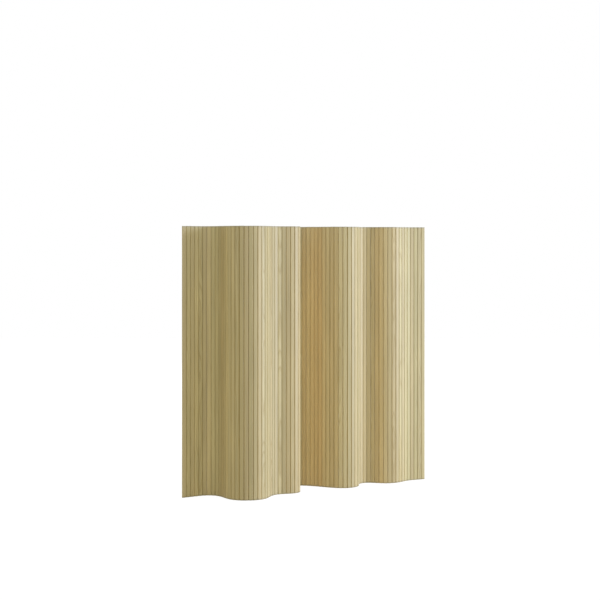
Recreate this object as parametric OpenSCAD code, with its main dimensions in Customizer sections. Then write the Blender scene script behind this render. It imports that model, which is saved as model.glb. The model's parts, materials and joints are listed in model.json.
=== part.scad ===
// Free-standing flexible screen: upright pine slats threaded side by side on level steel wires,
// standing in a wave. Units are millimetres, +Z is up, and +Y points away from the viewer.
// The origin is at floor level, under the middle of the standing screen's outline.

/* [Slats] */
// Height of a slat, and so of the screen
slat_h = 1500; // [900:10:2000]
// Distance from one slat to the next, measured along the screen
slat_pitch = 25; // [22:0.5:32]
// Gap between neighbouring slats
slat_gap = 0.6; // [0.6:0.1:1]
// Thickness of a slat
slat_t = 10; // [8:0.5:12]
// Radius of a slat's rounded long edges, which lets neighbours turn on each other
edge_r = 7; // [6:0.25:7]

/* [Wires] */
// Number of wires
wire_count = 5; // [3:1:7]
// Diameter of a wire
wire_d = 2; // [1.5:0.1:2.5]
// Height of the lowest wire above the floor, and depth of the highest one below the top
wire_inset = 75; // [40:5:150]
// Room between a wire and its hole in a slat, all round
wire_clearance = 0.5; // [0.4:0.1:0.7]

/* [Wire ends] */
// Diameter of the ferrule crimped on each end of a wire
ferrule_d = 5; // [4.5:0.25:5.5]
// Length of a ferrule
ferrule_l = 8; // [6:0.5:10]
// Room between a wire and its ferrule, all round
crimp_clearance = 0.05; // [0.02:0.01:0.1]
// Room between a ferrule and its pocket in an end slat, all round
pocket_clearance = 0.3; // [0.2:0.05:0.4]
// Length of the wooden plug that closes a pocket
plug_l = 2.5; // [2:0.25:4]
// Room between a plug and its pocket, all round
plug_clearance = 0.05; // [0.02:0.01:0.1]
// Distance from a ferrule to its plug
plug_distance = 0.5; // [0.3:0.1:0.8]

/* [Stance] */
// Share of the standing wave: 0 sets the screen out straight
wave = 1; // [0:0.05:1]
// Direction of the first slat at the full wave, in degrees away from the viewer
first_direction = 31; // [0:1:45]

/* [Hidden] */
$fn = 64;
overcut = 1;
wire_sides = 8;

// The wave from the left end to the right: panels in the run, slats in each, and degrees turned
// at the hinge before each. A positive turn leads away from the viewer.
RUNS = [
    [1, 3, 0], [1, 2, 0], [5, 1, -16], [1, 3, -8],
    [4, 1, 12], [1, 2, 15], [4, 1, 14], [1, 3, 9],
    [3, 1, -15], [1, 2, -10], [1, 1, 8], [1, 1, 16],
    [2, 1, 27], [1, 3, 24], [1, 2, -12], [4, 1, -25],
    [1, 1, -15], [1, 2, -10], [1, 4, -7], [1, 2, 7],
    [4, 1, 14], [2, 1, 17], [1, 2, 16], [4, 1, -21],
    [1, 3, -17], [4, 1, 13], [1, 3, 9], [1, 1, -11],
    [1, 4, -11]
];

slat_w = slat_pitch - slat_gap;
bore_d = wire_d + 2 * wire_clearance;
pocket_d = ferrule_d + 2 * pocket_clearance;
pocket_l = ferrule_l + plug_distance + plug_l;
wire_step = (slat_h - 2 * wire_inset) / (wire_count - 1);
WIRE_HEIGHTS = [for (i = [0:wire_count - 1]) wire_inset + i * wire_step];

// Slats in each panel, and the turn at the hinge before it
SIZES = [for (run = RUNS) for (i = [1:run[0]]) run[1]];
TURNS = [for (run = RUNS) for (i = [1:run[0]]) wave * run[2]];
last = len(SIZES) - 1;

// Direction of each panel, and number of slats before it
DIRECTIONS = [for (i = 0, a = wave * first_direction; i <= last; i = i + 1, a = i > last ? a : a + TURNS[i]) a];
FIRSTS = [for (i = 0, n = 0; i <= last; n = n + SIZES[i], i = i + 1) n];

function along(direction) = [cos(direction), sin(direction)];
function panel_step(i) = SIZES[i] * slat_pitch * along(DIRECTIONS[i]);

// Hinge points with the left end at [0, 0]: one before each panel, and one after the last
CHAIN = [for (i = 0, p = [0, 0]; i <= last + 1; p = i > last ? p : p + panel_step(i), i = i + 1) p];

// How far a slat reaches from its middle in a direction turned by this angle from its width
function slat_reach(angle) =
    let (c = abs(cos(angle)), s = abs(sin(angle)))
    s < slat_t / 2 / edge_r
        ? (slat_w / 2 - edge_r) * c + edge_r
        : (slat_w / 2 - edge_drop) * c + slat_t / 2 * s;
edge_drop = edge_r - sqrt(edge_r * edge_r - slat_t * slat_t / 4);

// Middles and directions of all slats, for the outline of the standing screen
SLATS = [for (i = [0:last]) for (k = [0:SIZES[i] - 1])
    [CHAIN[i] + (k + 0.5) * slat_pitch * along(DIRECTIONS[i]), DIRECTIONS[i]]];
function outline_end(axis, sign) =
    max([for (s = SLATS) sign * s[0][axis] + slat_reach(s[1] - 90 * axis)]) * sign;
function outline_middle(axis) = (outline_end(axis, 1) + outline_end(axis, -1)) / 2;
MIDDLE = [outline_middle(0), outline_middle(1)];
HINGES = [for (p = CHAIN) p - MIDDLE];

function two_digits(n) = str(n < 10 ? "0" : "", n);
function panel_name(i) = SIZES[i] == 1
    ? str("slat_", two_digits(FIRSTS[i] + 1))
    : str("slats_", two_digits(FIRSTS[i] + 1), "_", two_digits(FIRSTS[i] + SIZES[i]));
PANELS = [for (i = [0:last]) panel_name(i)];

pine = [0.83, 0.77, 0.62];
plug_pine = [0.76, 0.66, 0.47];
steel = [0.66, 0.67, 0.68];

// A level cylinder along +X from the origin
module level_cylinder(d, l) {
    rotate([0, 90, 0]) cylinder(d = d, h = l);
}

module at_wires() {
    for (z = WIRE_HEIGHTS) translate([0, 0, z]) children();
}

// The hinge before panel i, with +X along the panel
module at_panel(i) {
    translate(HINGES[i]) rotate([0, 0, DIRECTIONS[i]]) children();
}

// The middle of an end slat, with +X pointing out of the screen's end: side -1 is the left end
module at_end(side) {
    i = side < 0 ? 0 : last;
    at_panel(i)
        translate([side < 0 ? slat_pitch / 2 : (SIZES[i] - 0.5) * slat_pitch, 0, 0])
            rotate([0, 0, side < 0 ? 180 : 0]) children();
}

module slat_profile() {
    square([slat_w - 2 * edge_r, slat_t], center = true);
    for (side = [-1, 1])
        intersection() {
            translate([side * (slat_w / 2 - edge_r), 0]) circle(r = edge_r);
            square([slat_w, slat_t], center = true);
        }
}

module slat_blank() {
    linear_extrude(height = slat_h) slat_profile();
}

// Pocket for a ferrule and its plug in the +X edge of a slat
module pocket() {
    translate([slat_w / 2 - pocket_l, 0, 0]) level_cylinder(pocket_d, pocket_l + overcut);
}

// A drilled slat: pocket_side -1 or 1 adds pockets in that edge, 0 leaves them out
module slat(pocket_side) {
    difference() {
        slat_blank();
        at_wires() translate([-slat_w / 2 - overcut, 0, 0]) level_cylinder(bore_d, slat_w + 2 * overcut);
        if (pocket_side != 0)
            at_wires() rotate([0, 0, pocket_side < 0 ? 180 : 0]) pocket();
    }
}

// One or more slats that stay in line
module panel(i) {
    color(pine)
        at_panel(i)
            for (k = [0:SIZES[i] - 1])
                translate([(k + 0.5) * slat_pitch, 0, 0])
                    slat(i == 0 && k == 0 ? -1 : i == last && k == SIZES[i] - 1 ? 1 : 0);
}

// How far a wire's outer end lies inside the screen's end
wire_end = slat_gap / 2 + plug_l + plug_distance;

// A wire's middle line: its two ends, and between them the hinge points
WIRE_LINE = [for (i = [0:last + 1])
    i == 0 ? HINGES[0] + wire_end * along(DIRECTIONS[0])
    : i > last ? HINGES[i] - wire_end * along(DIRECTIONS[last])
    : HINGES[i]];

// Half the turn that the wire makes at each point of its line
function half_turn(i) = i == 0 || i > last ? 0 : TURNS[i] / 2;

// A corner of the wire's section at point i, in the plane that halves the turn there
function section_point(i, corner) =
    let (
        across = DIRECTIONS[min(i, last)] - half_turn(i) + 90,
        angle = (corner + 0.5) * 360 / wire_sides,
        side = WIRE_LINE[i] + wire_d / 2 * cos(angle) / cos(half_turn(i)) * along(across)
    )
    [side[0], side[1], wire_d / 2 * sin(angle)];

module wire() {
    n = wire_sides;
    polyhedron(
        points = [for (i = [0:last + 1]) for (corner = [0:n - 1]) section_point(i, corner)],
        faces = concat(
            [[for (corner = [0:n - 1]) corner]],
            [[for (corner = [n - 1:-1:0]) n * (last + 1) + corner]],
            [for (i = [0:last]) for (corner = [0:n - 1])
                let (a = n * i + corner, b = n * i + (corner + 1) % n)
                [a, a + n, b + n, b]]
        )
    );
}

module wires() {
    color(steel) at_wires() wire();
}

module ferrules(side) {
    bore = wire_d + 2 * crimp_clearance;
    color(steel)
        at_end(side)
            at_wires()
                translate([slat_w / 2 - pocket_l, 0, 0])
                    difference() {
                        level_cylinder(ferrule_d, ferrule_l);
                        translate([-overcut, 0, 0]) level_cylinder(bore, ferrule_l + 2 * overcut);
                    }
}

// Plugs end flush with the slat's rounded edge
module plugs(side) {
    color(plug_pine)
        at_end(side)
            intersection() {
                at_wires()
                    translate([slat_w / 2 - plug_l, 0, 0])
                        level_cylinder(pocket_d - 2 * plug_clearance, plug_l + overcut);
                slat_blank();
            }
}

for (i = [0:last])
    panel(i);
wires();
ferrules(-1);  // ferrules_left
ferrules(1);  // ferrules_right
plugs(-1);  // plugs_left
plugs(1);  // plugs_right
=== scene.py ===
"""Looks of a free-standing flexible slat screen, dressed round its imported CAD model.

Metres, +Z up, +Y away from the camera. Each slat is one board with its own grain, each body
carries the stretches of wire between its hinges, and the floor and backdrop are plain white.
"""
import json
import math
import random

import bmesh
import bpy
from mathutils import Matrix, Vector


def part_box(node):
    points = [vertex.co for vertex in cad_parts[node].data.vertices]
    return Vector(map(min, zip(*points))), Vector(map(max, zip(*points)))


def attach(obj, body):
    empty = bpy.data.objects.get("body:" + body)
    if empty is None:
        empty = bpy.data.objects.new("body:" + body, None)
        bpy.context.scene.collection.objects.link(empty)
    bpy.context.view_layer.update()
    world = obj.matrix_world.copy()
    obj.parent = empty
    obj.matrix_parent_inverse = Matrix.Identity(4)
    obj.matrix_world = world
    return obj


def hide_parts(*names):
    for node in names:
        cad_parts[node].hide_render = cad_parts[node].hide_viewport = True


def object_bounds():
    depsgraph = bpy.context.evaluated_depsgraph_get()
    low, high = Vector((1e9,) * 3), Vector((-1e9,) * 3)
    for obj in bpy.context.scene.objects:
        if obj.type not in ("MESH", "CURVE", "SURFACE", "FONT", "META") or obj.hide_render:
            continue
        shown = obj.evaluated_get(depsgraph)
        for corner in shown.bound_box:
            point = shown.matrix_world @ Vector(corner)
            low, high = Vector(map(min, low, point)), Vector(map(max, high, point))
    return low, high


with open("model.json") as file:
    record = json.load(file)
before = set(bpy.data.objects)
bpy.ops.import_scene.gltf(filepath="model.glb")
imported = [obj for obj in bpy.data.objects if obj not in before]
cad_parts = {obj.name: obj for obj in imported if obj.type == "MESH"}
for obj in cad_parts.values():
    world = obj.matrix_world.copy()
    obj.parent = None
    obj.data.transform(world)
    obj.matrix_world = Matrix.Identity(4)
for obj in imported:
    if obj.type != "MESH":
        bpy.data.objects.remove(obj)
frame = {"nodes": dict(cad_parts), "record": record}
CAD_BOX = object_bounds()
FLOOR_Z = CAD_BOX[0].z
HEIGHT = CAD_BOX[1].z - FLOOR_Z

# Slats, as in the CAD model
SLAT_THICK = 0.010
EDGE_RADIUS = 0.007
CAD_GAP = 0.0006
# The drawn edges come to a faint crest at mid thickness, so that a gap lets no daylight through.
# It lies this far from the middle of the gap, on the hinge axis, where it can never strike.
CREST_ROOM = 0.00004
# The drawn crowns stand back from the CAD ones by this much, for the bow of the slats
CROWN_ROOM = 0.0001
# Eased long edges: how far they reach from the corner, and the share by which the corner draws in
ARRIS = 0.0006
ARRIS_DRAW = 0.18
END_EASE = 0.0005
# How finely a slat is divided: steps round an edge, parts of a face, and spans up its height
EDGE_STEPS = 5
FACE_PARTS = 6
HEIGHT_SPANS = 18

# Wires and what holds their ends, as in the CAD model
WIRE_RADIUS = 0.001
BORE_RADIUS = 0.0015
POCKET_RADIUS = 0.0028
POCKET_DEPTH = 0.011
WIRE_END_INSET = 0.0033
# How far a hinge turns either way from straight, in degrees
HINGE_LIMIT = 32
# The drawn stretches of wire: sides, and distance from a tip to the hinge
WIRE_SIDES = 12
WIRE_TIP = 0.00002

DRILL_SIDES = 20
OVERCUT = 0.002
# Edges that turn more than this are drawn sharp, in degrees
SHARP_ANGLE = 35


def slat_numbers(node):
    """The slats that a node holds: slats_11_13 holds 11, 12 and 13."""
    words = node.split("_")[1:]
    return range(int(words[0]), int(words[-1]) + 1)


def flat(v):
    return Vector((v[0], v[1]))


class Panel:
    """One CAD node of slats in line: its body, middle, direction and hinge points in plan."""

    def __init__(self, node, body, hinges):
        self.node = node
        self.body = body
        self.slats = slat_numbers(node)
        low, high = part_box(node)
        self.middle = (flat(low) + flat(high)) / 2
        left = hinges.get(self.slats[0])
        right = hinges.get(self.slats[-1] + 1)
        half = self.middle - left if left else right - self.middle
        self.along = half.normalized()
        self.left = self.middle - half
        self.right = self.middle + half
        self.pitch = 2 * half.length / len(self.slats)

    def slat_middle(self, number):
        return self.left + (number - self.slats[0] + 0.5) * self.pitch * self.along


def read_panels():
    """The panels from left to right. A hinge is known by the slat after it, as in its name."""
    bodies = frame["record"]["behaviour"]["bodies"]
    body_of = {node: body for body, nodes in bodies.items() for node in nodes}
    hinges = {}
    for joint in frame["record"]["behaviour"]["joints"]:
        hinges[int(joint["name"].split("_")[-1])] = flat(joint["pos_m"])
    nodes = [node for node in frame["nodes"] if node.startswith("slat")]
    nodes.sort(key=lambda node: slat_numbers(node)[0])
    return [Panel(node, body_of[node], hinges) for node in nodes]


PANELS = read_panels()
PITCH = PANELS[0].pitch
SLAT_COUNT = PANELS[-1].slats[-1]
SLAT_WIDTH = PITCH - CAD_GAP


def wire_heights():
    """Heights of the wires: the middles of the plugs, which are separate islands of one node."""
    zs = sorted(v.co.z for v in frame["nodes"]["plugs_left"].data.vertices)
    groups = [[zs[0]]]
    for z in zs[1:]:
        if z - groups[-1][-1] > 4 * POCKET_RADIUS:
            groups.append([])
        groups[-1].append(z)
    return [(group[0] + group[-1]) / 2 for group in groups]


WIRE_HEIGHTS = wire_heights()


# Meshes

def new_object(name, bm):
    mesh = bpy.data.meshes.new(name)
    bm.to_mesh(mesh)
    bm.free()
    obj = bpy.data.objects.new(name, mesh)
    bpy.context.scene.collection.objects.link(obj)
    return obj


def edge_outline(crested):
    """The +X edge of a slat in section, from its back face to its front face, arrises eased."""
    centre = SLAT_WIDTH / 2 - EDGE_RADIUS
    radius = EDGE_RADIUS - CROWN_ROOM if crested else EDGE_RADIUS
    crest = PITCH / 2 - CREST_ROOM
    corner = math.asin(SLAT_THICK / 2 / radius)
    eased = corner - ARRIS / radius
    # A crested edge leaves the crown where a straight flank to the crest touches it
    first = math.acos(radius / (crest - centre)) if crested else 0
    half = [(crest, 0) if crested else (SLAT_WIDTH / 2, 0)]
    for i in range(0 if crested else 1, EDGE_STEPS + 1):
        angle = first + (eased - first) * i / EDGE_STEPS
        half.append((centre + radius * math.cos(angle), radius * math.sin(angle)))
    corner_x = centre + radius * math.cos(corner)
    draw = ARRIS * ARRIS_DRAW
    half += [(corner_x - draw, SLAT_THICK / 2 - draw), (corner_x - ARRIS, SLAT_THICK / 2)]
    return [(x, -y) for x, y in reversed(half[1:])] + half


def slat_outline(end_side):
    """A slat's whole section, counterclockwise: a free end of the screen has no crest."""
    right = edge_outline(end_side != 1)
    left = [(-x, -y) for x, y in edge_outline(end_side != -1)]
    face_x = right[0][0]
    shares = [1 - 2 * k / FACE_PARTS for k in range(1, FACE_PARTS)]
    front = [(face_x * share, SLAT_THICK / 2) for share in shares]
    back = [(-x, -y) for x, y in front]
    return right + front + left + back


def slat_blank(end_side):
    """A slat without holes: rings of its section up its height, drawn in a little at both ends."""
    outline = slat_outline(end_side)
    inner = (1 - END_EASE / (SLAT_WIDTH / 2), 1 - END_EASE / (SLAT_THICK / 2))
    straight = HEIGHT - 2 * END_EASE
    levels = [(0, inner)]
    levels += [(END_EASE + straight * i / HEIGHT_SPANS, (1, 1)) for i in range(HEIGHT_SPANS + 1)]
    levels += [(HEIGHT, inner)]
    bm = bmesh.new()
    rings = []
    for z, (scale_x, scale_y) in levels:
        rings.append([bm.verts.new((x * scale_x, y * scale_y, z)) for x, y in outline])
    count = len(outline)
    for low, high in zip(rings, rings[1:]):
        for i in range(count):
            j = (i + 1) % count
            bm.faces.new((low[i], low[j], high[j], high[i]))
    bm.faces.new(list(reversed(rings[0])))
    bm.faces.new(rings[-1])
    return bm


def level_drills(name, radius, start, length):
    """An object with a closed cylinder along +X at the height of each wire."""
    bm = bmesh.new()
    turn = Matrix.Rotation(math.pi / 2, 4, "Y")
    for z in WIRE_HEIGHTS:
        place = Matrix.Translation((start + length / 2, 0, z)) @ turn
        bmesh.ops.create_cone(bm, cap_ends=True, segments=DRILL_SIDES, radius1=radius,
                              radius2=radius, depth=length, matrix=place)
    return new_object(name, bm)


def drilled_slat(end_side):
    """The mesh of a slat with its wire holes: end_side -1 or 1 adds pockets in that edge."""
    slat = new_object("slat_blank", slat_blank(end_side))
    drills = [level_drills("bore_drills", BORE_RADIUS, -PITCH / 2 - OVERCUT, PITCH + 2 * OVERCUT)]
    if end_side:
        start = SLAT_WIDTH / 2 - POCKET_DEPTH if end_side > 0 else -SLAT_WIDTH / 2 - OVERCUT
        drills.append(level_drills("pocket_drills", POCKET_RADIUS, start, POCKET_DEPTH + OVERCUT))
    for drill in drills:
        cut = slat.modifiers.new("holes", "BOOLEAN")
        cut.operation = "DIFFERENCE"
        cut.solver = "EXACT"
        cut.object = drill
    bpy.context.view_layer.update()
    shaped = slat.evaluated_get(bpy.context.evaluated_depsgraph_get())
    mesh = bpy.data.meshes.new_from_object(shaped)
    for obj in [slat] + drills:
        bpy.data.objects.remove(obj, do_unlink=True)
    return mesh


# What differs from slat to slat

# How the boards' tone drifts along the screen: slat, and its paleness, warmth and the strength of
# the painted shade in its joins. Paleness and warmth are the boards' own tone and also painted
# light, fitted band by band along the screen; the paler, warmer run round slat 49 is painted
# bounce light in the fold.
BOARD_TONE_AND_LIGHT = ((1, -0.4, -0.1, 0.1), (4, 1.7, -0.1, 0.1), (7, -0.5, 0.2, 0.1), (11, -2.9, 0.2, 0.4),
               (15, 1.4, -0.1, 0.7), (18, -3.1, 0.1, 1.3), (20, -0.9, -0.1, 1.5), (32, -0.6, 0, 1.3),
               (42, 1.6, 0.2, 0.4), (49, 1.5, 2.0, 0.2), (54, 1.8, 0.5, 1.4), (58, -0.8, -0.6, 1.2),
               (68, 1.6, 1.2, 0.5), (70, -0.1, 0.3, 0.9), (80, 0.2, -0.5, 0))
# How far warmth strays from that. Paleness strays by 1.
WARMTH_STRAY = 0.4
# The most that a slat bows, twists from end to end, in degrees, and is cut short at the top
BOW_MOST = 0.00015
TWIST_MOST = 0.3
SHORT_MOST = 0.0006
# How far the heart of the tree lies from a slat's middle
HEART_NEAR = 0.025
HEART_FAR = 0.11
# The wood's noise is taken at a place between 0 and this, which differs from slat to slat
NOISE_RANGE = 60
FIRST_SEED = 1000


def board_tone_and_light(number):
    """The drift at one slat, between the rows of the table on both sides of it."""
    for (a, *low), (b, *high) in zip(BOARD_TONE_AND_LIGHT, BOARD_TONE_AND_LIGHT[1:]):
        if number <= b:
            t = (number - a) / (b - a)
            return [u + t * (v - u) for u, v in zip(low, high)]


class Board:
    """The cut of one slat: its bow and twist, where it lay in the tree, and its tone, which also
    holds painted light; and how strongly its joins are darkened with painted shade.
    """

    def __init__(self, number):
        rng = random.Random(FIRST_SEED + number)
        self.flip = rng.random() < 0.5
        self.bow = rng.uniform(-1, 1) * BOW_MOST
        self.twist = math.radians(rng.uniform(-1, 1) * TWIST_MOST)
        self.short = rng.uniform(0, SHORT_MOST)
        # The heart of the tree, across and through from the slat's middle, and a place in the noise
        turn = rng.uniform(0, math.pi)
        distance = rng.uniform(HEART_NEAR, HEART_FAR)
        noise_at = rng.uniform(0, NOISE_RANGE)
        self.heart = Vector((distance * math.cos(turn), distance * math.sin(turn), noise_at))
        # Tone, from dark to pale and from green to pink, with painted light in it, and then the
        # width of the rings
        pale, warm, join_shade = board_tone_and_light(number)
        pale += rng.gauss(0, 1)
        warm += rng.gauss(0, WARMTH_STRAY)
        self.tint = Vector((pale, warm, rng.random()))
        # How strongly this slat's joins are darkened with painted shade
        self.join_shade = join_shade * self.tint.z

    def place(self, co):
        """Where a point of the straight slat comes to lie."""
        t = co.z / HEIGHT
        angle = self.twist * (t - 0.5)
        x = co.x * math.cos(angle) - co.y * math.sin(angle)
        y = co.x * math.sin(angle) + co.y * math.cos(angle) + self.bow * math.sin(math.pi * t)
        z = co.z * (1 - self.short / HEIGHT)
        return Vector((x, y, z))


def number_attribute(mesh, name, values):
    mesh.attributes.new(name, "FLOAT", "POINT").data.foreach_set("value", values)


def vector_attribute(mesh, name, values):
    layer = mesh.attributes.new(name, "FLOAT_VECTOR", "POINT")
    layer.data.foreach_set("vector", [c for v in values for c in v])


def make_panel(panel, blanks):
    """All the slats of one CAD node, as one piece."""
    bm = bmesh.new()
    grain, heart, tint, join_shade = [], [], [], []
    turn = Matrix.Rotation(math.atan2(panel.along.y, panel.along.x), 4, "Z")
    for number in panel.slats:
        board = Board(number)
        end_side = -1 if number == 1 else 1 if number == SLAT_COUNT else 0
        middle = panel.slat_middle(number)
        seat = Matrix.Translation((middle.x, middle.y, FLOOR_Z)) @ turn
        before = len(bm.verts)
        bm.from_mesh(blanks[end_side])
        bm.verts.ensure_lookup_table()
        for vert in bm.verts[before:]:
            co = vert.co.copy()
            grain.append(Vector((-co.x, -co.y, co.z)) if board.flip else co)
            heart.append(board.heart)
            tint.append(board.tint)
            join_shade.append(board.join_shade)
            vert.co = seat @ board.place(co)
    obj = new_object("boards_" + panel.node, bm)
    vector_attribute(obj.data, "grain", grain)
    vector_attribute(obj.data, "heart", heart)
    vector_attribute(obj.data, "tint", tint)
    # How strongly each slat's joins are darkened with painted shade
    number_attribute(obj.data, "join_shade", join_shade)
    obj.data.shade_smooth()
    obj.data.set_sharp_from_angle(angle=math.radians(SHARP_ANGLE))
    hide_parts(panel.node)
    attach(obj, panel.body)
    return obj


def add_wire(bm, start, end):
    """A stretch of wire between two hinge points, tapered to both just enough to turn there."""
    axis = end - start
    turn = axis.to_track_quat("Z", "Y").to_matrix().to_4x4()
    # Half of the hinge's turn, and a degree to spare
    slope = math.radians(HINGE_LIMIT / 2 + 1)
    taper = WIRE_RADIUS * math.tan(slope)
    rings = []
    for along in (WIRE_TIP + taper, axis.length - WIRE_TIP - taper):
        ring = []
        for k in range(WIRE_SIDES):
            angle = 2 * math.pi * k / WIRE_SIDES
            corner = Vector((WIRE_RADIUS * math.cos(angle), WIRE_RADIUS * math.sin(angle), along))
            ring.append(bm.verts.new(start + turn @ corner))
        rings.append(ring)
    ends = (WIRE_TIP, axis.length - WIRE_TIP)
    tips = [bm.verts.new(start + turn @ Vector((0, 0, along))) for along in ends]
    for i in range(WIRE_SIDES):
        j = (i + 1) % WIRE_SIDES
        bm.faces.new((rings[0][i], rings[0][j], rings[1][j], rings[1][i]))
        bm.faces.new((tips[0], rings[0][j], rings[0][i]))
        bm.faces.new((tips[1], rings[1][i], rings[1][j]))


def make_wires(panel):
    """The stretches of wire inside one panel, from hinge to hinge, so that they turn with it."""
    start, end = panel.left, panel.right
    if panel is PANELS[0]:
        start = start + WIRE_END_INSET * panel.along
    if panel is PANELS[-1]:
        end = end - WIRE_END_INSET * panel.along
    bm = bmesh.new()
    for z in WIRE_HEIGHTS:
        add_wire(bm, Vector((start.x, start.y, z)), Vector((end.x, end.y, z)))
    obj = new_object("wire_" + panel.node, bm)
    obj.data.shade_smooth()
    obj.data.set_sharp_from_angle(angle=math.radians(SHARP_ANGLE))
    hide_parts("wires")
    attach(obj, panel.body)
    return obj


# Materials

class Nodes:
    """A short way to build a material: a call that adds a node returns what the node gives."""

    def __init__(self, name):
        self.material = bpy.data.materials.new(name)
        self.material.use_nodes = True
        self.tree = self.material.node_tree
        self.shader = self.tree.nodes["Principled BSDF"]

    def add(self, kind, **settings):
        node = self.tree.nodes.new(kind)
        for key, value in settings.items():
            setattr(node, key, value)
        return node

    def put(self, socket, value):
        if isinstance(value, bpy.types.NodeSocket):
            self.tree.links.new(value, socket)
        else:
            socket.default_value = value

    def put_all(self, sockets, values):
        for socket, value in zip(sockets, values):
            self.put(socket, value)

    def attribute(self, name, output="Vector"):
        return self.add("ShaderNodeAttribute", attribute_name=name).outputs[output]

    def math(self, operation, a, b=0.0, c=0.0):
        node = self.add("ShaderNodeMath", operation=operation)
        self.put_all(node.inputs, (a, b, c))
        return node.outputs[0]

    def length(self, v):
        node = self.add("ShaderNodeVectorMath", operation="LENGTH")
        self.put(node.inputs[0], v)
        return node.outputs["Value"]

    def split(self, v):
        node = self.add("ShaderNodeSeparateXYZ")
        self.put(node.inputs[0], v)
        return node.outputs["X"], node.outputs["Y"], node.outputs["Z"]

    def join(self, x, y, z):
        node = self.add("ShaderNodeCombineXYZ")
        self.put_all(node.inputs, (x, y, z))
        return node.outputs[0]

    def noise(self, v, detail=2.0, roughness=0.5, scale=1.0):
        node = self.add("ShaderNodeTexNoise")
        self.put(node.inputs["Vector"], v)
        node.inputs["Scale"].default_value = scale
        node.inputs["Detail"].default_value = detail
        node.inputs["Roughness"].default_value = roughness
        return node.outputs["Fac"]

    def ranged(self, value, low, high, to_low=0.0, to_high=1.0, smooth=False):
        node = self.add("ShaderNodeMapRange", clamp=True)
        node.interpolation_type = "SMOOTHSTEP" if smooth else "LINEAR"
        self.put_all(node.inputs[:5], (value, low, high, to_low, to_high))
        return node.outputs[0]

    def ramp(self, value, stops):
        node = self.add("ShaderNodeValToRGB")
        elements = node.color_ramp.elements
        while len(elements) < len(stops):
            elements.new(0.5)
        for element, (place, shade) in zip(elements, stops):
            element.position = place
            element.color = (shade, shade, shade, 1)
        self.put(node.inputs[0], value)
        return node.outputs[0]

    def mix(self, factor, a, b, blend="MIX"):
        node = self.add("ShaderNodeMix", data_type="RGBA", blend_type=blend)
        self.put(node.inputs[0], factor)
        self.put(node.inputs[6], a)
        self.put(node.inputs[7], b)
        return node.outputs[2]

    def stain(self, colour, tone, mask, strength):
        """Mixes a tone into a colour where a mask is above 0."""
        return self.mix(self.math("MULTIPLY", mask, strength), colour, tone)

    def bump(self, height, distance, strength=1.0):
        node = self.add("ShaderNodeBump")
        self.put(node.inputs["Height"], height)
        node.inputs["Distance"].default_value = distance
        node.inputs["Strength"].default_value = strength
        self.tree.links.new(node.outputs[0], self.shader.inputs["Normal"])


def linear(r, g, b):
    """An sRGB colour, 0 to 255, as Blender's linear colour."""
    def one(c):
        c = c / 255
        return c / 12.92 if c <= 0.04045 else ((c + 0.055) / 1.055) ** 2.4
    return (one(r), one(g), one(b), 1.0)


PINE_PALE = linear(224, 208, 165)
PINE_RING = linear(182, 156, 96)
PINE_WARM = linear(226, 199, 149)
PINE_GREEN = linear(212, 205, 155)
GROOVE = linear(112, 100, 48)
# The next three colours are painted light: shade in the joins between slats, a cool sheen on the top
# of each slat, and a shadow at its foot
JOIN_SHADE = linear(176, 146, 58)
TOP_SHEEN = linear(172, 170, 160)
FOOT_SHADOW = linear(108, 102, 82)
DOWEL_PALE = linear(196, 170, 120)
DOWEL_RING = linear(150, 116, 68)

# How dark a year's ring is, from its start to its end
PINE_YEAR = ((0.0, 0.25), (0.08, 0.0), (0.55, 0.12), (0.86, 1.0), (1.0, 0.3))
DOWEL_YEAR = ((0.0, 0.2), (0.5, 0.1), (0.85, 1.0), (1.0, 0.3))
# Width of the narrowest rings, what the widest have more, and how far rings ripple
RING_LEAST = 0.0017
RING_MORE = 0.0014
RING_RIPPLE = 0.0016
# How far the heart wanders, and how often for each metre of trunk: across, and through
WANDER = 0.030
WANDER_UP = (1.6, 1.3)
# Noises of the grain: repeats per metre across, through and up a slat
RIPPLE_GRAIN = (60.0, 60.0, 5.0)
FIBRE_GRAIN = (2600.0, 2600.0, 22.0)
STREAK_GRAIN = (200.0, 200.0, 2.0)
DUCT_GRAIN = (1500.0, 1500.0, 60.0)
# Values of the noise between which a resin duct begins to show
DUCT_SHOWS = (0.71, 0.78)
# Slow changes of tone, in repeats per metre across and up a slat
TONE_ACROSS = 30.0
TONE_UP = 2.4
# Shade of a middling slat, and what 1 of paleness adds
SHADE_MIDDLE = 0.955
SHADE_STEP = 0.05
# Roughness of the smoothest wood, and what the roughest fibres have more
ROUGH_LEAST = 0.42
ROUGH_MORE = 0.18
# Warmth at which a slat is as pinkish as it gets, or with a minus as greenish
WARMTH_FULL = 2.2
# Where colour changes: distances across from the middle for the painted shade of the joins, and
# from an end for the darker ends, the painted sheen at the top and the painted shadow at the foot
JOIN_SHADE_EDGE = (0.0096, 0.0121)
DARK_END = (0.0004, 0.0040)
END_SHEEN_AND_SHADOW = (0.003, 0.011)


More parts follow.
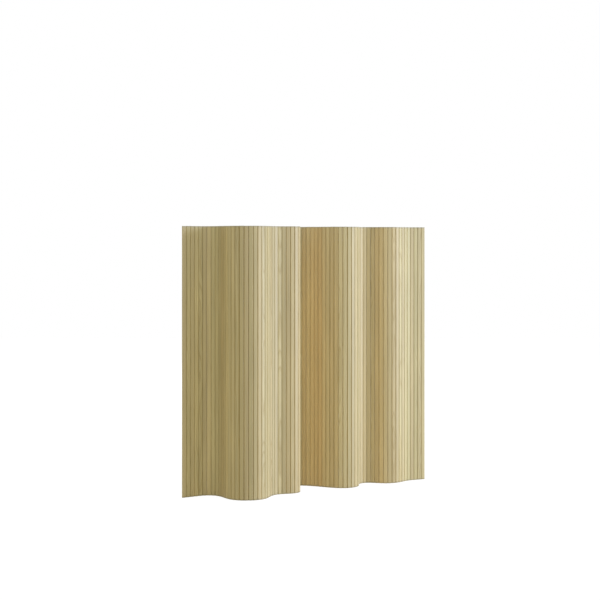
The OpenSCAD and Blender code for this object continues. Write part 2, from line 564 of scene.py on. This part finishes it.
def pine():
    """Oiled pine, cut from a tree whose rings are worked out in the slat's own space."""
    n = Nodes("pine")
    x, y, z = n.split(n.attribute("grain"))
    heart_x, heart_y, seed = n.split(n.attribute("heart"))
    value, warmth, spread = n.split(n.attribute("tint"))
    # How strongly the joins are darkened with painted shade
    join_shade = n.attribute("join_shade", "Fac")

    def grain_noise(grain, shift, detail, roughness=0.5):
        """Noise stretched up the slat, at a place of the slat's own."""
        across, through, up = grain
        shifted = n.math("ADD", shift, n.math("MULTIPLY", y, through))
        at = n.join(n.math("MULTIPLY", x, across), shifted, n.math("MULTIPLY", z, up))
        return n.noise(at, detail, roughness)

    # The trunk wanders a little as it grows, which draws the rings out into long flames
    wander_x = n.noise(n.join(seed, 0.0, n.math("MULTIPLY", z, WANDER_UP[0])))
    wander_y = n.noise(n.join(0.0, seed, n.math("MULTIPLY", z, WANDER_UP[1])))
    off_x = n.math("MULTIPLY_ADD", wander_x, WANDER, n.math("ADD", x, heart_x))
    off_y = n.math("MULTIPLY_ADD", wander_y, WANDER, n.math("ADD", y, heart_y))
    ripple = grain_noise(RIPPLE_GRAIN, seed, detail=3.0)
    radius = n.math("MULTIPLY_ADD", ripple, RING_RIPPLE, n.length(n.join(off_x, off_y, 0.0)))
    ring = n.math("DIVIDE", radius, n.math("MULTIPLY_ADD", spread, RING_MORE, RING_LEAST))
    late = n.ramp(n.math("FRACT", ring), PINE_YEAR)

    # Fibres run up the slat, with short resin ducts among them
    fibre = grain_noise(FIBRE_GRAIN, seed, detail=3.0, roughness=0.6)
    streak = grain_noise(STREAK_GRAIN, seed, detail=2.0)
    specks = grain_noise(DUCT_GRAIN, n.math("MULTIPLY", seed, 3.0), detail=1.0)
    duct = n.ranged(specks, *DUCT_SHOWS)

    # The tone of a slat changes slowly up its height
    drift_at = n.join(seed, n.math("MULTIPLY", x, TONE_ACROSS), n.math("MULTIPLY", z, TONE_UP))
    drift = n.noise(drift_at, detail=1.0)

    # Slats differ in tone, from pale to straw and from pinkish to greenish, and the paler, warmer
    # boards in the fold are painted bounce light
    colour = n.mix(n.ranged(warmth, 0.0, WARMTH_FULL), PINE_PALE, PINE_WARM)
    colour = n.mix(n.ranged(warmth, 0.0, -WARMTH_FULL), colour, PINE_GREEN)
    colour = n.stain(colour, PINE_RING, late, strength=0.42)
    colour = n.stain(colour, GROOVE, duct, strength=0.35)
    shade = n.math("MULTIPLY_ADD", value, SHADE_STEP, SHADE_MIDDLE)
    for noise, depth in ((fibre, 0.16), (streak, 0.40), (drift, 0.30)):
        shade = n.math("MULTIPLY_ADD", n.math("SUBTRACT", noise, 0.5), depth, shade)
    colour = n.mix(1.0, colour, n.join(shade, shade, shade), "MULTIPLY")

    # Painted shade darkens the rounded edges where the slats meet, more in some parts of the screen
    # than in others.
    edge = n.ranged(n.math("ABSOLUTE", x), *JOIN_SHADE_EDGE, smooth=True)
    colour = n.stain(colour, JOIN_SHADE, edge, strength=join_shade)
    # The slats are darker within a few millimetres of both ends
    from_top = n.math("SUBTRACT", HEIGHT, z)
    end = n.ranged(n.math("MINIMUM", z, from_top), *DARK_END, to_low=1.0, to_high=0.0)
    colour = n.stain(colour, GROOVE, end, strength=0.3)
    # A painted cool sheen makes the top few millimetres of each slat greyer
    top = n.ranged(from_top, *END_SHEEN_AND_SHADOW, to_low=1.0, to_high=0.0)
    colour = n.stain(colour, TOP_SHEEN, top, strength=0.35)
    # A painted shadow darkens the foot, where the slats stand on the floor
    foot = n.ranged(z, *END_SHEEN_AND_SHADOW, to_low=1.0, to_high=0.0)
    colour = n.stain(colour, FOOT_SHADOW, foot, strength=0.28)

    n.put(n.shader.inputs["Base Color"], colour)
    n.put(n.shader.inputs["Roughness"], n.math("MULTIPLY_ADD", fibre, ROUGH_MORE, ROUGH_LEAST))
    n.shader.inputs["Specular IOR Level"].default_value = 0.55
    # Fibres and dark rings stand up a little, and ducts are hollow
    height = n.math("SUBTRACT", fibre, n.math("MULTIPLY", duct, 0.8))
    n.bump(n.math("MULTIPLY_ADD", late, 0.35, height), distance=0.00006, strength=0.8)
    return n.material


def dowel():
    """End grain of the plugs, a shade darker than the slats."""
    rings_per_metre = 900.0
    slope = 0.4
    pores_per_metre = 5000.0
    n = Nodes("dowel")
    at = n.add("ShaderNodeTexCoord").outputs["Object"]
    _, y, z = n.split(at)
    across = n.math("ADD", z, n.math("MULTIPLY", y, slope))
    late = n.ramp(n.math("FRACT", n.math("MULTIPLY", across, rings_per_metre)), DOWEL_YEAR)
    pores = n.noise(at, scale=pores_per_metre)
    colour = n.stain(DOWEL_PALE, DOWEL_RING, late, strength=0.5)
    colour = n.mix(n.ranged(pores, 0.5, 0.8, to_high=0.3), colour, GROOVE)
    n.put(n.shader.inputs["Base Color"], colour)
    n.shader.inputs["Roughness"].default_value = 0.6
    n.bump(pores, distance=0.00005)
    return n.material


def steel():
    """Drawn steel wire, with fine lines along it from the die."""
    along_per_metre = 60.0
    lines_per_metre = 9000.0
    n = Nodes("steel")
    x, y, z = n.split(n.add("ShaderNodeTexCoord").outputs["Object"])
    lines = n.noise(n.join(n.math("MULTIPLY", x, along_per_metre),
                           n.math("MULTIPLY", y, along_per_metre),
                           n.math("MULTIPLY", z, lines_per_metre)))
    shade = n.ranged(lines, 0.3, 0.7, to_low=0.48, to_high=0.62)
    n.put(n.shader.inputs["Base Color"], n.join(shade, shade, n.math("MULTIPLY", shade, 1.02)))
    n.shader.inputs["Metallic"].default_value = 1.0
    n.put(n.shader.inputs["Roughness"], n.ranged(lines, 0.3, 0.7, to_low=0.28, to_high=0.42))
    n.bump(lines, distance=0.00003)
    return n.material


def dress(obj, material):
    obj.data.materials.clear()
    obj.data.materials.append(material)


# Camera, from the photograph: level, at standing eye height, looking down by shift alone.
# Lengths in the picture are in pixels, and the yaw is in degrees.
IMAGE = 600
FOCAL_PX = 1314.6
HORIZON_PX = 245.0
SENSOR = 36.0
CAMERA_AT = (-0.0058, -7.508, 1.3947)
CAMERA_YAW = 0.30


def make_camera():
    data = bpy.data.cameras.new("camera")
    data.sensor_width = SENSOR
    data.lens = SENSOR * FOCAL_PX / IMAGE
    data.shift_y = (HORIZON_PX - IMAGE / 2) / IMAGE
    data.clip_end = 100
    camera = bpy.data.objects.new("camera", data)
    camera.location = CAMERA_AT
    camera.rotation_euler = (math.pi / 2, 0, math.radians(CAMERA_YAW))
    bpy.context.scene.collection.objects.link(camera)
    bpy.context.scene.camera = camera


# Light and floor
WORLD_LIGHT = 0.53
WORLD_COLOUR = (1.0, 0.965, 0.67, 1)
WHITE = (1, 1, 1, 1)
FLOOR_SIZE = 12
# The floor's colour in the light that it throws back
FLOOR_PLAIN = (0.78, 0.72, 0.56, 1)
# The floor as seen: a glow, and a little colour that takes the shadow. It is bluer than grey, to
# even out the warm light of the world.
FLOOR_GLOW = 0.92
FLOOR_DIM = (0.2, 0.205, 0.24, 1)


def seen_white(tree, seen, other):
    """Mixes two shaders: one for what the camera sees, also in gloss or through glass, and one
    for the rest."""
    path = tree.nodes.new("ShaderNodeLightPath")
    looks = path.outputs["Is Camera Ray"]
    for ray in ("Is Glossy Ray", "Is Transmission Ray"):
        either = tree.nodes.new("ShaderNodeMath")
        either.operation = "MAXIMUM"
        tree.links.new(looks, either.inputs[0])
        tree.links.new(path.outputs[ray], either.inputs[1])
        looks = either.outputs[0]
    mix = tree.nodes.new("ShaderNodeMixShader")
    tree.links.new(looks, mix.inputs[0])
    tree.links.new(other, mix.inputs[1])
    tree.links.new(seen, mix.inputs[2])
    return mix.outputs[0]


def shader(tree, kind, **values):
    """Adds a shader with constant inputs, and returns its output."""
    node = tree.nodes.new(kind)
    for name, value in values.items():
        node.inputs[name].default_value = value
    return node.outputs[0]


def make_world():
    """Even light from all round, which is plain white where it is looked at."""
    world = bpy.data.worlds.new("world")
    bpy.context.scene.world = world
    world.use_nodes = True
    tree = world.node_tree
    tree.nodes.clear()
    light = shader(tree, "ShaderNodeBackground", Color=WORLD_COLOUR, Strength=WORLD_LIGHT)
    white = shader(tree, "ShaderNodeBackground", Color=WHITE, Strength=1.0)
    out = tree.nodes.new("ShaderNodeOutputWorld")
    tree.links.new(seen_white(tree, white, light), out.inputs[0])


def make_floor():
    """A floor that throws back some light, and is looked at as white with the screen's shadow."""
    bm = bmesh.new()
    bmesh.ops.create_grid(bm, x_segments=1, y_segments=1, size=FLOOR_SIZE)
    floor = new_object("floor", bm)
    floor.location.z = FLOOR_Z
    material = bpy.data.materials.new("floor")
    material.use_nodes = True
    tree = material.node_tree
    tree.nodes.clear()
    plain = shader(tree, "ShaderNodeBsdfDiffuse", Color=FLOOR_PLAIN)
    dim = shader(tree, "ShaderNodeBsdfDiffuse", Color=FLOOR_DIM)
    glow = shader(tree, "ShaderNodeEmission", Strength=FLOOR_GLOW)
    seen = tree.nodes.new("ShaderNodeAddShader")
    tree.links.new(dim, seen.inputs[0])
    tree.links.new(glow, seen.inputs[1])
    out = tree.nodes.new("ShaderNodeOutputMaterial")
    tree.links.new(seen_white(tree, seen.outputs[0], plain), out.inputs[0])
    dress(floor, material)


def area_light(name, angle, elevation, distance, size, power, colour, aim=HEIGHT / 2, spread=180):
    """A square lamp round the screen's middle: angle 0 is in front and 90 to the right. It is
    aimed at a height over the middle of the floor, and throws a cone of light of this spread."""
    data = bpy.data.lights.new(name, "AREA")
    data.shape = "SQUARE"
    data.size = size
    data.energy = power
    data.color = colour
    data.spread = math.radians(spread)
    lamp = bpy.data.objects.new(name, data)
    turn, up = math.radians(angle), math.radians(elevation)
    towards = Vector((math.sin(turn) * math.cos(up), -math.cos(turn) * math.cos(up), math.sin(up)))
    lamp.location = Vector((0, 0, FLOOR_Z + HEIGHT / 2)) + distance * towards
    target = Vector((0, 0, FLOOR_Z + aim))
    lamp.rotation_euler = (target - lamp.location).to_track_quat("-Z", "Y").to_euler()
    bpy.context.scene.collection.objects.link(lamp)


def main():
    pine_material, dowel_material, steel_material = pine(), dowel(), steel()
    make_camera()
    blanks = {side: drilled_slat(side) for side in (-1, 0, 1)}
    for panel in PANELS:
        dress(make_panel(panel, blanks), pine_material)
        dress(make_wires(panel), steel_material)
    for side in ("left", "right"):
        dress(frame["nodes"]["plugs_" + side], dowel_material)
        dress(frame["nodes"]["ferrules_" + side], steel_material)
    make_world()
    make_floor()
    area_light("key", angle=81, elevation=8, distance=8.0, size=3.0, power=29.0,
               colour=(1.0, 1.135, 1.5), aim=0.5, spread=50)
    area_light("back", angle=200, elevation=25, distance=8.0, size=3.0, power=160,
               colour=(0.98, 1.03, 1.25))
    area_light("above", angle=0, elevation=62, distance=2.4, size=1.6, power=2.6,
               colour=(1.0, 1.5, 3.0))
    bpy.context.scene.view_settings.view_transform = "Standard"


main()
